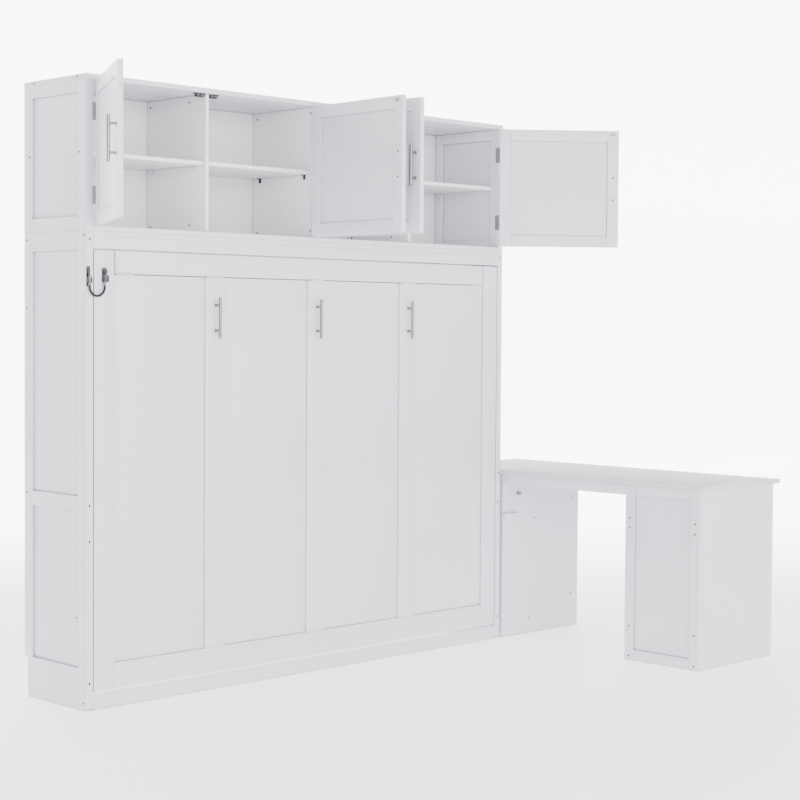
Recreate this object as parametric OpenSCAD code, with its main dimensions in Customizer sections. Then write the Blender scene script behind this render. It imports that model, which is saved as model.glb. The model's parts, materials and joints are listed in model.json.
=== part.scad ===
// Horizontal wall bed with an overhead cabinet and a side desk.
// Millimetres. X runs along the wall, Y from the room to the wall, Z up.
// Origin: floor, cabinet front plane, middle of the cabinet's width.

/* [Cabinet] */
// Outside width of the cabinet
cab_w = 2210; // [2190:1:2260]
// Depth of the cabinet
cab_d = 396; // [392:1:440]
// Height of the lower cabinet
low_h = 1720; // [1712:1:1760]
// Height of the overhead cabinet
up_h = 556; // [520:1:600]
// Thickness of the side frames
side_t = 30; // [28:1:32]
// Thickness of the boards
board_t = 18; // [16:1:18]
// Width of the side stiles
side_stile = 50; // [40:1:60]
// Depth of the notch that clears the skirting board
notch_d = 22; // [10:1:24]
// Height of the notch that clears the skirting board
notch_h = 146; // [80:1:150]

/* [Bed] */
// Thickness of the bed front's frame
front_t = 20; // [18:1:20]
// Gap around the bed front
front_gap = 4; // [3:1:5]
// Bottom edge of the bed front
front_z0 = 65; // [64:1:66]
// Top edge of the bed front
front_z1 = 1652; // [1648:1:1653]
// Width of the end stiles
end_stile = 88; // [80:1:96]
// Width of the middle stiles
mid_stile = 98; // [90:1:104]
// Width of the bottom rail
foot_rail = 96; // [90:1:104]
// Distance of the fold pivot behind the front plane
pivot_y = 150; // [148:1:150]
// Height of the fold pivot
pivot_z = 237; // [237:1:239]
// Depth of the bed box behind the front
box_d = 180; // [150:1:190]
// Number of slats
slat_n = 16; // [10:1:20]

/* [Doors] */
// Opening angle of the first door
open_1 = 117.5; // [60:0.5:165]
// Opening angle of the second door
open_2 = 87.6; // [60:0.2:88]
// Opening angle of the third door
open_3 = 87.1; // [60:0.1:88]
// Opening angle of the fourth door
open_4 = 139.3; // [60:0.1:165]
// Gap between doors and around them
door_gap = 3; // [2:0.5:4]
// Width of the doors' stiles and rails
door_stile = 50; // [40:1:60]

/* [Handles] */
// Length of a handle bar
bar_l = 156; // [120:1:200]
// Distance between a handle's posts
post_pitch = 96; // [64:32:128]
// Distance of the bar's axis from the face
bar_out = 26; // [22:1:28]
// Radius of the bar
bar_r = 6; // [5:0.5:7]

/* [Desk] */
// Width of the desk top
desk_w = 553; // [520:1:600]
// Reach of the desk into the room
desk_reach = 1092; // [1000:1:1300]
// Height of the desk top's upper face
desk_h = 752; // [720:1:760]
// Depth of the pedestal
ped_d = 378; // [350:1:400]

/* [Hidden] */
$fn = 48;

joint_line = 0.2; // gap at a joint between two boards of one frame
half_w = cab_w / 2;
inner_w = half_w - side_t; // half of the clear width inside
top_z = low_h + up_h;
panel_t = 9;
paint = [0.90, 0.90, 0.92];
inside_paint = [0.86, 0.86, 0.87];
pine = [0.72, 0.60, 0.42];
steel = [0.72, 0.72, 0.70];
black = [0.06, 0.06, 0.07];

// lower cabinet
base_h = 60;
base_bevel = 18;
head_z = front_z1 + front_gap + 1;
wall_rail_h = 100;
wall_rail_low = 10;
wall_rail_mid = 860;
side_rail_low = 150; // height of the side frame's bottom rail
side_rail_mid = [715, 770]; // bottom and top of its middle rail
side_rail_top = 68;
up_rail_low = 52;
up_rail_top = 45;
recess = 10; // depth of the side panels behind the outer face
foot_r = 14; // rounding of the side frame's front foot
bolt_r = 3.5;

// bed
bed_half = inner_w - front_gap;
rail_t = 22;
box_out = 1040; // half width over the box rails
box_in = box_out - rail_t;
box_y1 = front_t + box_d;
box_z0 = front_z0 + 3;
box_z1 = front_z1 - 4;
leg_axis_y = -2.2;
leg_axis_z = front_z1 - 84;
leg_half = bed_half - end_stile - 4;
mid_x = [-516, 0, 516];
leg_hinge_x = concat([-940], mid_x, [940]);
leg_hinge_w = 70;
leg_knuckle_r = 2.5;
leg_pin_r = 1.2;
leg_leaf_in = 0.2; // leaf faces, from the fold line
leg_leaf_out = 1.5;
leg_leaf_y0 = 1.2;
leg_tab_y1 = 2;
leg_back_gap = 0.5; // between the leg board and the board behind it
post_r = 4.5; // handle posts
handle_z = 1414; // middle of the bed's handles
leg_lap = 40; // the board behind the leg reaches this far under the fold line
ledger_h = 32;
slat_edge = 14; // from the box's inner face to the first slat
slat_play = 2;
ledger_mid = [830, 870]; // middle strip under the slats
slat_w = 68;
slat_t = 18;
panel_z0 = front_z0 + foot_rail;
panel_z1 = leg_axis_z - leg_leaf_out;
slat_y = 44;

// fold mechanism: strut ends on one circle round the pivot
plate_t = 4; // plates on the bed
cab_plate_t = 3; // plates on the cabinet
strut_x = 1057.5;
strut_r = 150;
angle_b = -76; // bed end of the strut
angle_a = 88; // cabinet end of the strut
strut_len = 2 * strut_r * sin((angle_a - angle_b) / 2);
strut_turn = (angle_a + angle_b) / 2 + 90; // direction from bed end to cabinet end
stud_r = 4;
stud_head_r = 6.5;
stud_l = 7; // from the eye's middle to the stud's head
eye_r = 8;
eye_w = 10;
neck_r = 4.5;
cylinder_r = 9;
cylinder_l = 160; // from the eye's middle to the cylinder's open end
rod_r = 4;
pin_r = 8;
running = 0.05; // radial clearance of turning and sliding fits
ya = pivot_y + strut_r * cos(angle_a);
za = pivot_z + strut_r * sin(angle_a);
yb = pivot_y + strut_r * cos(angle_b);
zb = pivot_z + strut_r * sin(angle_b);
rod_tip = 139; // the rod's end inside the cylinder, from the upper eye
cab_plate_y = [70, 240];
cab_bolt_z = [pivot_z - 90, pivot_z + 75, za + 40];
bed_bolt_z = [pivot_z + 60, pivot_z + 130];
bed_bolt_y = [85, 170];
plate_edge = 20; // beyond the outermost bolts

// doors
door_t = 20;
door_z0 = low_h + board_t + door_gap;
door_z1 = top_z - board_t - door_gap;
door_h = door_z1 - door_z0;
div_t = board_t;
side_div_t = 14;
door_w = (inner_w - div_t / 2 - 3 * door_gap) / 2;
knuckle_r = 4;
hinge_y = -knuckle_r;
hinge_h = 64;
hinge_z = [door_z0 + 106, door_z1 - 112];
leaf_w = 17;
leaf_t = 1.3;
leaf_y0 = knuckle_r + 0.6; // front edge of a leaf
tab_y0 = knuckle_r - 1.5; // tabs that join leaves and knuckles
tab_y1 = knuckle_r + 2;
knuckle_play = 0.3;
pin_in = 2;
hinge_x = [-inner_w + door_gap / 2, -div_t / 2 - door_gap / 2, div_t / 2 + door_gap / 2,
    inner_w - door_gap / 2];
hand = [1, -1, 1, -1]; // +1: the door reaches towards +X when it is closed
open = [open_1, open_2, open_3, open_4];
side_div_x = div_t / 2 + door_gap + door_w + door_gap / 2; // middle of the side dividers
side_div_in = side_div_x - side_div_t / 2;
side_div_out = side_div_x + side_div_t / 2;
bays = [[-inner_w, -side_div_out], [-side_div_in, -div_t / 2], [div_t / 2, side_div_in],
    [side_div_out, inner_w]]; // clear width of each compartment
shelf_z = (low_h + top_z) / 2;
shelf_y0 = 34;
shelf_t = 14;
top_joint_y = 250;
back_t = 8; // back board of the overhead cabinet
magnet_out = 33; // from the side divider's middle
magnet_half = 16;
magnet_ear = 25;
magnet_d = 15;
magnet_h = 14;
magnet_y0 = door_t + 4;
support_h = 20;
support_l = 16;
support_w = 14;
support_t = 2;

// safety cable
cable_r = 4.2;
cable_y = -10;
cable_left = -half_w + 8;
cable_right = -bed_half + 39;
cable_low = 1488;
loop_r = (cable_right - cable_left) / 2;
loop_z = cable_low + loop_r;
plug_r = 4.6;
plug_l = 18;
ferrule_r = 5;
ferrule_l = 34;
cable_plate_t = 2;
clip_h = 70;
clip_jaw = 6.4; // from the cable's axis to the middle of a jaw
lock_h = 50;
clip_w = 15;
lock_x = cable_right + 4; // middle of the lock
lock_w = 20;

// desk
desk_x0 = half_w;
desk_t = 18;
ped_x0 = desk_x0 + 12;
ped_x1 = ped_x0 + 526;
ped_y0 = -desk_reach + 22;
ped_y1 = ped_y0 + ped_d;
under_z = desk_h - desk_t;
apron_h = 45;
far_y0 = -7;
ped_side_t = 24; // thickness of the pedestal's framed side
ped_stile = 48;
ped_rail = 44;
desk_shelf_z = [60, 380]; // undersides of the shelves in both modules
cleat_l = 94;
cleat_t = 16;
cleat_z = 540;
hook_x = desk_x0 + 110; // coat hook on the leg board
hook_z = 641;
bracket_w = 20;
bracket_l = 34;
bracket_t = 2;
bracket_in = 60; // from the desk modules' sides

// screws
screw_r = 4.5;
screw_h = 1.2;
front_screw_z = [98, 609, 738, 1690];
side_screws = [[14, 1703], [60, 331], [16, 28], [378, 1695], [378, 1445], [44, 2000], [362, 2000],
    [57, top_z - 9], [331, top_z - 9]]; // Y and Z on both outer sides
divider_screw_z = [low_h + board_t + 29, top_z - board_t - 25];
divider_screws = [[-side_div_out, 123, 368], [-div_t / 2, 33, 360], [side_div_in, 123, 368]];
ped_screw_z = [17, 142, 554, 595];
ped_screw_in = 24; // from the pedestal's edges
far_screws = [[1328, 522], [1592, 596], [1300, 70], [1592, 152]]; // X and Z on the leg board

module block(x0, x1, y0, y1, z0, z1)
{
    translate([x0, y0, z0])
        cube([x1 - x0, y1 - y0, z1 - z0]);
}

// cylinder along X from x0 to x1
module rod_x(r, x0, x1, y, z)
{
    translate([min(x0, x1), y, z])
        rotate([0, 90, 0])
            cylinder(r = r, h = abs(x1 - x0));
}

module both_sides()
{
    children();
    mirror([1, 0, 0])
        children();
}

// Frame and recessed panels in the local plane X-Z, thickness along Y.
// rails: list of [bottom, top]; the stiles run the whole height.
module framed_panel(w, h, t, stile, rails)
{
    g = joint_line;
    block(0, stile, 0, t, 0, h);
    block(w - stile, w, 0, t, 0, h);
    for (r = rails)
        block(stile + g, w - stile - g, 0, t, r[0], r[1]);
    for (i = [0 : len(rails) - 2])
        block(stile + g, w - stile - g, (t - panel_t) / 2, (t + panel_t) / 2,
            rails[i][1] + g, rails[i + 1][0] - g);
}

// T-bar handle: bar along Z, posts along -Y from the plane Y = 0
module t_bar()
{
    translate([0, -bar_out, -bar_l / 2])
        cylinder(r = bar_r, h = bar_l);
    for (s = [-1, 1])
        translate([0, 0, s * post_pitch / 2])
            rotate([90, 0, 0])
                cylinder(r = post_r, h = bar_out);
}

// ---------------------------------------------------------------- lower cabinet

// Side frame of the lower cabinet, outer face at X = -half_w
module lower_side()
{
    g = joint_line;
    x0 = -half_w;
    x1 = -inner_w;
    y1 = cab_d - side_stile;
    difference()
    {
        block(x0, x1, 0, side_stile, 0, low_h);
        rotate([0, 90, 0])
            translate([0, 0, x0 - 1])
                difference()
                {
                    translate([-foot_r, -1])
                        cube([foot_r + 1, foot_r + 1, side_t + 2]);
                    translate([-foot_r, foot_r, -1])
                        cylinder(r = foot_r, h = side_t + 4);
                }
    }
    difference()
    {
        block(x0, x1, y1, cab_d, 0, low_h);
        block(x0 - 1, x1 + 1, cab_d - notch_d, cab_d + 1, -1, notch_h);
    }
    rails = [[0, side_rail_low], side_rail_mid, [low_h - side_rail_top, low_h]];
    for (r = rails)
        block(x0, x1, side_stile + g, y1 - g, r[0], r[1]);
    for (i = [0, 1])
        block(x0 + recess, x0 + recess + panel_t, side_stile + g, y1 - g,
            rails[i][1] + g, rails[i + 1][0] - g);
}

module side_left()
{
    color(paint)
        lower_side();
}

module side_right()
{
    color(paint)
        mirror([1, 0, 0])
            lower_side();
}

module base_rail()
{
    color(paint)
        translate([-inner_w, 0, 0])
            rotate([90, 0, 90])
                linear_extrude(2 * inner_w)
                    polygon([[0, 0], [board_t, 0], [board_t, base_h - base_bevel], [0, base_h]]);
}

module head_rail()
{
    color(paint)
        block(-inner_w, inner_w, 0, front_t, head_z, low_h - board_t);
}

module lower_top()
{
    color(paint)
        block(-inner_w, inner_w, 0, cab_d, low_h - board_t, low_h);
}

module wall_rails()
{
    y0 = cab_d - board_t;
    color(inside_paint)
    {
        block(-inner_w, inner_w, y0 - notch_d, cab_d - notch_d, wall_rail_low,
            wall_rail_low + wall_rail_h);
        block(-inner_w, inner_w, y0, cab_d, wall_rail_mid, wall_rail_mid + wall_rail_h);
        block(-inner_w, inner_w, y0, cab_d, low_h - board_t - wall_rail_h, low_h - board_t);
    }
}

// Plates on the inside of the cabinet's sides
module cabinet_pivot_plates()
{
    color(steel)
        both_sides()
            difference()
            {
                block(inner_w - cab_plate_t, inner_w, cab_plate_y[0], cab_plate_y[1],
                    cab_bolt_z[0] - plate_edge, cab_bolt_z[2] + plate_edge);
                for (z = cab_bolt_z)
                    rod_x(bolt_r, inner_w - cab_plate_t - 1, inner_w + 1, cab_plate_y[0] + 22, z);
            }
}

// Fold pins and the struts' upper studs, welded to the cabinet plates
module cabinet_pivot_pins()
{
    x_plate = inner_w - cab_plate_t;
    color(steel)
        both_sides()
        {
            rod_x(pin_r, box_out + 0.4, x_plate, pivot_y, pivot_z);
            rod_x(stud_r, strut_x - stud_l, x_plate, ya, za);
            rod_x(stud_head_r, strut_x - stud_l - 2, strut_x - stud_l, ya, za);
        }
}

// ------------------------------------------------------------- overhead cabinet

module upper_side()
{
    g = joint_line;
    x0 = -half_w;
    x1 = -inner_w;
    y1 = cab_d - side_stile;
    z1 = top_z - board_t - g;
    block(x0, x1, 0, side_stile, low_h + g, z1);
    block(x0, x1, y1, cab_d, low_h + g, z1);
    rails = [[low_h + g, low_h + up_rail_low], [z1 - up_rail_top, z1]];
    for (r = rails)
        block(x0, x1, side_stile + g, y1 - g, r[0], r[1]);
    block(x0 + recess, x0 + recess + panel_t, side_stile + g, y1 - g,
        rails[0][1] + g, rails[1][0] - g);
}

module upper_side_left()
{
    color(paint)
        upper_side();
}

module upper_side_right()
{
    color(paint)
        mirror([1, 0, 0])
            upper_side();
}

// Two boards side by side: their joint runs along X
module upper_top()
{
    z0 = top_z - board_t;
    color(paint)
    {
        block(-half_w, half_w, 0, top_joint_y, z0, top_z);
        block(-half_w, half_w, top_joint_y + joint_line, cab_d, z0, top_z);
    }
}

module upper_bottom()
{
    color(paint)
        block(-inner_w, inner_w, 0, cab_d, low_h + joint_line, low_h + board_t);
}

module divider(x, t, y0)
{
    color(inside_paint)
        block(x - t / 2, x + t / 2, y0, cab_d - back_t, low_h + board_t, top_z - board_t);
}

module divider_left()
{
    divider(-side_div_x, side_div_t, door_t + 2);
}

module divider_middle()
{
    divider(0, div_t, 0);
}

module divider_right()
{
    divider(side_div_x, side_div_t, door_t + 2);
}

// One shelf in each compartment
module shelves()
{
    color(inside_paint)
        for (b = bays)
            block(b[0], b[1], shelf_y0, cab_d - back_t, shelf_z - shelf_t / 2, shelf_z + shelf_t / 2);
}

module upper_back()
{
    color(inside_paint)
        block(-inner_w, inner_w, cab_d - back_t, cab_d, low_h + board_t, top_z - board_t);
}

// L-shaped supports under the shelves: side is the direction from the wall into the compartment
module shelf_support(x, side, y)
{
    z1 = shelf_z - shelf_t / 2;
    y0 = y - support_w / 2;
    x1 = x + side * support_t;
    x2 = x + side * support_l;
    block(min(x, x1), max(x, x1), y0, y0 + support_w, z1 - support_h, z1);
    block(min(x1, x2), max(x1, x2), y0, y0 + support_w, z1 - support_t, z1);
}

module shelf_supports()
{
    color(black)
        for (side = [-1, 1])
            for (y = [69, 343])
                shelf_support(side * div_t / 2, side, y);
}

module shelf_supports_white()
{
    color(paint)
        both_sides()
        {
            for (y = [95, 350])
            {
                shelf_support(side_div_in, -1, y);
                shelf_support(side_div_out, 1, y);
            }
            for (y = [42, 360])
                shelf_support(inner_w, -1, y);
        }
}

// Magnetic catches under the top board, one for each door's free corner
module magnet_catches()
{
    z1 = top_z - board_t;
    color(black)
        both_sides()
            for (d = [-1, 1])
            {
                x = side_div_x + d * magnet_out;
                block(x - magnet_ear, x + magnet_ear, magnet_y0, magnet_y0 + magnet_d, z1 - 4, z1);
                block(x - magnet_half, x + magnet_half, magnet_y0, magnet_y0 + magnet_d,
                    z1 - magnet_h, z1 - 3);
            }
}

// ------------------------------------------------------------------ door hinges

// Knuckle stack on the Z axis: outer knuckles and pin, for the cabinet's leaf
module leaf_cabinet(side)
{
    third = hinge_h / 3;
    cylinder(r = knuckle_r, h = third - knuckle_play);
    translate([0, 0, 2 * third + knuckle_play])
        cylinder(r = knuckle_r, h = third - knuckle_play);
    cylinder(r = pin_in, h = hinge_h);
    x0 = side > 0 ? -door_gap / 2 : door_gap / 2 - leaf_t;
    for (z = [0, 2 * third + knuckle_play])
        block(x0, x0 + leaf_t, tab_y0, tab_y1, z, z + third - knuckle_play);
    block(x0, x0 + leaf_t, leaf_y0, knuckle_r + leaf_w, 0, hinge_h);
}

// The door's leaf with the middle knuckle, bored for the pin
module leaf_door(side)
{
    third = hinge_h / 3;
    z0 = third;
    x0 = side > 0 ? door_gap / 2 - leaf_t : -door_gap / 2;
    difference()
    {
        union()
        {
            translate([0, 0, z0])
                cylinder(r = knuckle_r, h = third);
            block(x0, x0 + leaf_t, tab_y0, tab_y1, z0, z0 + third);
            block(x0, x0 + leaf_t, leaf_y0, knuckle_r + leaf_w, 0, hinge_h);
        }
        translate([0, 0, z0 - 1])
            cylinder(r = pin_in + running, h = third + 2);
    }
}

module door_hinge_leaves()
{
    color(steel)
        for (k = [0 : 3])
            for (z = hinge_z)
                translate([hinge_x[k], hinge_y, z - hinge_h / 2])
                    leaf_cabinet(hand[k]);
}

// Turns a closed door to its resting angle about its hinge
module on_hinge(k)
{
    translate([hinge_x[k], hinge_y, 0])
        rotate([0, 0, -hand[k] * open[k]])
            children();
}

module door_hinges(k)
{
    color(steel)
        on_hinge(k)
            for (z = hinge_z)
                translate([0, 0, z - hinge_h / 2])
                    leaf_door(hand[k]);
}

module door_panel(k)
{
    x0 = hand[k] > 0 ? door_gap / 2 : -door_gap / 2 - door_w;
    color(paint)
        on_hinge(k)
            translate([x0, knuckle_r, door_z0])
                framed_panel(door_w, door_h, door_t, door_stile,
                    [[0, door_stile], [door_h - door_stile, door_h]]);
}

module door_handle(k)
{
    x = hand[k] * (door_gap / 2 + door_w - door_stile / 2);
    color(steel)
        on_hinge(k)
            translate([x, knuckle_r, shelf_z])
                t_bar();
}

module door_1() { door_panel(0); }
module door_2() { door_panel(1); }
module door_3() { door_panel(2); }
module door_4() { door_panel(3); }
module door_1_handle() { door_handle(0); }
module door_2_handle() { door_handle(1); }
module door_3_handle() { door_handle(2); }
module door_4_handle() { door_handle(3); }
module door_1_hinges() { door_hinges(0); }
module door_2_hinges() { door_hinges(1); }
module door_3_hinges() { door_hinges(2); }
module door_4_hinges() { door_hinges(3); }

// -------------------------------------------------------------------------- bed

module bed_front_frame()
{
    g = joint_line;
    z0 = front_z0;
    color(paint)
    {
        both_sides()
            block(bed_half - end_stile, bed_half, 0, front_t, z0, front_z1);
        block(-bed_half + end_stile + g, bed_half - end_stile - g, 0, front_t, z0, panel_z0);
        for (x = mid_x)
            block(x - mid_stile / 2, x + mid_stile / 2, 0, front_t, panel_z0 + g, panel_z1);
    }
}

module bed_front_panels()
{
    g = joint_line;
    edges = concat([-bed_half + end_stile - mid_stile / 2], mid_x,
        [bed_half - end_stile + mid_stile / 2]);
    color(paint)
        for (i = [0 : 3])
            block(edges[i] + mid_stile / 2 + g, edges[i + 1] - mid_stile / 2 - g,
                (front_t - panel_t) / 2, (front_t + panel_t) / 2, panel_z0 + g, panel_z1);
}

// Box round the mattress, with a board behind the leg and a middle beam
module bed_box_rails()
{
    g = joint_line;
    color(inside_paint)
    {
        both_sides()
            block(box_in, box_out, front_t, box_y1, box_z0, box_z1);
        block(-box_in + g, box_in - g, front_t, box_y1, box_z0, box_z0 + rail_t);
        block(-box_in + g, box_in - g, front_t, box_y1, box_z1 - rail_t, box_z1);
        block(-box_in + g, box_in - g, front_t, front_t + board_t,
            panel_z1 - leg_lap, box_z1 - rail_t - g);
    }
}

// Strips that carry the slats: they run along X at both ends and in the middle
module bed_ledgers()
{
    g = joint_line;
    color(pine)
    {
        block(-box_in + g, box_in - g, front_t, slat_y, box_z0 + rail_t + g, box_z0 + rail_t + ledger_h);
        block(-box_in + g, box_in - g, front_t, slat_y, ledger_mid[0], ledger_mid[1]);
        block(-box_in + g, box_in - g, front_t + board_t + g, slat_y, box_z1 - rail_t - ledger_h,
            box_z1 - rail_t - g);
    }
}

module bed_slats()
{
    first = -box_in + slat_edge;
    pitch = (-2 * first - slat_w) / (slat_n - 1);
    color(pine)
        for (i = [0 : slat_n - 1])
            block(first + i * pitch, first + i * pitch + slat_w, slat_y, slat_y + slat_t,
                box_z0 + rail_t + slat_play, box_z1 - rail_t - slat_play);
}

module bed_handles()
{
    color(steel)
        for (x = mid_x)
            translate([x, 0, handle_z])
                t_bar();
}

// Plates on the box rails with the pivot's bushing and the struts' lower studs
module bed_pivot_plates()
{
    x1 = box_out + plate_t;
    color(steel)
        both_sides()
        {
            difference()
            {
                union()
                {
                    block(box_out, x1, 60, box_y1 - 4, front_z0 + 7, bed_bolt_z[1] + plate_edge);
                    rod_x(pin_r + 6, x1, x1 + 4, pivot_y, pivot_z);
                }
                rod_x(pin_r + running, box_out - 1, x1 + 6, pivot_y, pivot_z);
                for (z = bed_bolt_z)
                    for (y = bed_bolt_y)
                        rod_x(bolt_r, box_out - 1, x1 + 1, y, z);
            }
            rod_x(stud_r, x1, strut_x + stud_l, yb, zb);
            rod_x(stud_head_r, strut_x + stud_l, strut_x + stud_l + 2, yb, zb);
        }
}

module leg_board()
{
    color(paint)
        block(-leg_half, leg_half, 0, front_t - leg_back_gap, leg_axis_z + leg_leaf_out, front_z1);
}

// Leaves under the leg board's edge, with the pin and the outer knuckles
module leg_hinges_bed()
{
    third = leg_hinge_w / 3;
    color(paint)
        for (x = leg_hinge_x)
        {
            x0 = x - leg_hinge_w / 2;
            rod_x(leg_knuckle_r, x0, x0 + third - knuckle_play, leg_axis_y, leg_axis_z);
            rod_x(leg_knuckle_r, x0 + 2 * third + knuckle_play, x0 + leg_hinge_w,
                leg_axis_y, leg_axis_z);
            rod_x(leg_pin_r, x0, x0 + leg_hinge_w, leg_axis_y, leg_axis_z);
            for (a = [x0, x0 + 2 * third + knuckle_play])
                block(a, a + third - knuckle_play, leg_axis_y, leg_tab_y1,
                    leg_axis_z - leg_leaf_out, leg_axis_z - leg_leaf_in);
            block(x0, x0 + leg_hinge_w, leg_leaf_y0, front_t - 2,
                leg_axis_z - leg_leaf_out, leg_axis_z - leg_leaf_in);
        }
}

module leg_hinges_board()
{
    third = leg_hinge_w / 3;
    color(paint)
        for (x = leg_hinge_x)
        {
            x0 = x - leg_hinge_w / 2;
            difference()
            {
                union()
                {
                    rod_x(leg_knuckle_r, x0 + third, x0 + 2 * third, leg_axis_y, leg_axis_z);
                    block(x0 + third, x0 + 2 * third, leg_axis_y, leg_tab_y1,
                        leg_axis_z + leg_leaf_in, leg_axis_z + leg_leaf_out);
                }
                rod_x(leg_pin_r + running, x0 + third - 1, x0 + 2 * third + 1, leg_axis_y, leg_axis_z);
            }
            block(x0, x0 + leg_hinge_w, leg_leaf_y0, front_t - 2,
                leg_axis_z + leg_leaf_in, leg_axis_z + leg_leaf_out);
        }
}

// ------------------------------------------------------------------- gas struts

// Local frame of a strut: the cabinet end at the origin, the bed end along -Z
module strut_frame()
{
    both_sides()
        translate([strut_x, ya, za])
            rotate([strut_turn - 90, 0, 0])
                children();
}

module eye()
{
    difference()
    {
        rotate([0, 90, 0])
            cylinder(r = eye_r, h = eye_w, center = true);
        rotate([0, 90, 0])
            cylinder(r = stud_r + running, h = eye_w + 2, center = true);
    }
}

module strut_cylinders()
{
    color(black)
        strut_frame()
        {
            eye();
            difference()
            {
                union()
                {
                    translate([0, 0, -16])
                        cylinder(r = neck_r, h = 9);
                    translate([0, 0, -cylinder_l])
                        cylinder(r = cylinder_r, h = cylinder_l - 15);
                }
                translate([0, 0, -cylinder_l - 1])
                    cylinder(r = rod_r + running, h = cylinder_l - 18);
            }
        }
}

module strut_rods()
{
    color(steel)
        strut_frame()
        {
            translate([0, 0, -strut_len])
                eye();
            translate([0, 0, -strut_len + 7])
                cylinder(r = rod_r, h = strut_len - 7 - rod_tip);
        }
}

// ----------------------------------------------------------------- safety cable

module safety_cable()
{
    color(black)
    {
        translate([(cable_left + cable_right) / 2, cable_y, loop_z])
            rotate([-90, 0, 0])
                rotate_extrude(angle = 180)
                    translate([loop_r, 0])
                        circle(r = cable_r);
        for (x = [cable_left, cable_right])
            translate([x, cable_y, loop_z])
                cylinder(r = cable_r, h = 4);
    }
}

// Crimped ends: a long ferrule on the left, a plug in the lock on the right
module cable_ferrules()
{
    color(steel)
    {
        translate([cable_left, cable_y, loop_z + 4])
            cylinder(r = ferrule_r, h = ferrule_l);
        translate([cable_right, cable_y, loop_z + 4])
            cylinder(r = plug_r, h = plug_l);
    }
}

// Slim steel clip on the cabinet: open to the room, so the ferrule can leave it
module cable_clip()
{
    x = cable_left;
    z0 = loop_z + 14;
    color(steel)
    {
        block(x - clip_w / 2, x + clip_w / 2, -cable_plate_t, 0, loop_z + 2, loop_z + 2 + clip_h);
        for (s = [-1, 1])
            block(x + s * clip_jaw - 1, x + s * clip_jaw + 1, -15, -cable_plate_t, z0, z0 + 20);
        translate([x, -cable_plate_t, loop_z + clip_h - 8])
            rotate([90, 0, 0])
                cylinder(r = 4.5, h = 2.5);
    }
}

// Keyed lock on the bed's stile that grips the cable's other end
module cable_lock()
{
    z0 = loop_z + 18;
    color(steel)
    {
        block(lock_x - lock_w / 2, lock_x + lock_w / 2, -cable_plate_t, 0, z0, z0 + lock_h);
        difference()
        {
            block(lock_x - 9.5, lock_x + 9.5, -17, -cable_plate_t, z0, z0 + 24);
            translate([cable_right, cable_y, z0 - 1])
                cylinder(r = plug_r + running, h = 7);
        }
        translate([lock_x, -cable_plate_t, z0 + 36])
            rotate([90, 0, 0])
                cylinder(r = 7, h = 11);
    }
}

// ------------------------------------------------------------------------- desk

module desk_top()
{
    color(paint)
        block(desk_x0, desk_x0 + desk_w, -desk_reach, cab_d, under_z, desk_h);
}

module desk_aprons()
{
    z0 = under_z - apron_h;
    color(paint)
    {
        block(ped_x0, ped_x0 + board_t, ped_y1, far_y0, z0, under_z);
        block(ped_x1 - board_t, ped_x1, ped_y1, far_y0, z0, under_z);
    }
}

// Pedestal at the room end: framed left side, plain near and far boards
module desk_pedestal()
{
    g = joint_line;
    t = ped_side_t;
    h = under_z;
    color(paint)
    {
        translate([ped_x0 + t, ped_y0, 0])
            rotate([0, 0, 90])
                framed_panel(ped_d, h, t, ped_stile, [[0, ped_rail], [h - ped_rail, h]]);
        block(ped_x0 + t + g, ped_x1, ped_y0, ped_y0 + board_t, 0, h);
        block(ped_x0 + t + g, ped_x1, ped_y1 - board_t, ped_y1, 0, h);
    }
}

module desk_pedestal_shelves()
{
    x0 = ped_x0 + ped_side_t + joint_line;
    color(inside_paint)
        for (z = concat(desk_shelf_z, [under_z - board_t]))
            block(x0, ped_x1, ped_y0 + board_t, ped_y1 - board_t, z, z + board_t);
}

// Module beside the cabinet: side board, leg board that faces the room, far board, and a cleat
// low on the leg board
module desk_far_module()
{
    color(paint)
    {
        block(ped_x0, ped_x0 + board_t, far_y0 + board_t + joint_line, cab_d - notch_d, 0, under_z);
        block(ped_x0, ped_x1, far_y0, far_y0 + board_t, 0, under_z);
        block(ped_x0 + board_t + joint_line, ped_x1, cab_d - notch_d - board_t, cab_d - notch_d,
            0, under_z);
        block(ped_x0, ped_x0 + cleat_l, far_y0 - cleat_t, far_y0 - joint_line,
            cleat_z, cleat_z + cleat_t);
    }
}

module desk_far_shelves()
{
    x0 = ped_x0 + board_t + joint_line;
    color(inside_paint)
        for (z = desk_shelf_z)
            block(x0, ped_x1, far_y0 + board_t, cab_d - notch_d - board_t, z, z + board_t);
}

// Corner brackets under the top: one leaf on a board, one under the top
module corner_bracket(x, y, dir)
{
    x0 = x - bracket_w / 2;
    y1 = y + dir * bracket_t;
    y2 = y + dir * bracket_l;
    block(x0, x0 + bracket_w, min(y, y1), max(y, y1), under_z - bracket_l, under_z);
    block(x0, x0 + bracket_w, min(y1, y2), max(y1, y2), under_z - bracket_t, under_z);
}

module desk_brackets()
{
    color(black)
        for (x = [ped_x0 + bracket_in, ped_x1 - bracket_in])
        {
            corner_bracket(x, far_y0, -1);
            corner_bracket(x, ped_y1, 1);
        }
}

// Small round hook on the leg board: rose, stem and head
module desk_hook()
{
    color(steel)
        translate([hook_x, far_y0, hook_z])
            rotate([90, 0, 0])
            {
                cylinder(r = 9, h = 3);
                cylinder(r = 4, h = 14);
                translate([0, 0, 12])
                    cylinder(r = 7, h = 6);
            }
}

// ----------------------------------------------------------------------- screws

// Screw head on a face: axis names the face's outward direction
module screw_head(x, y, z, axis)
{
    translate([x, y, z])
        rotate(axis == "-y" ? [90, 0, 0] : axis == "-x" ? [0, -90, 0] : [0, 90, 0])
            cylinder(r = screw_r, h = screw_h);
}

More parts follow.
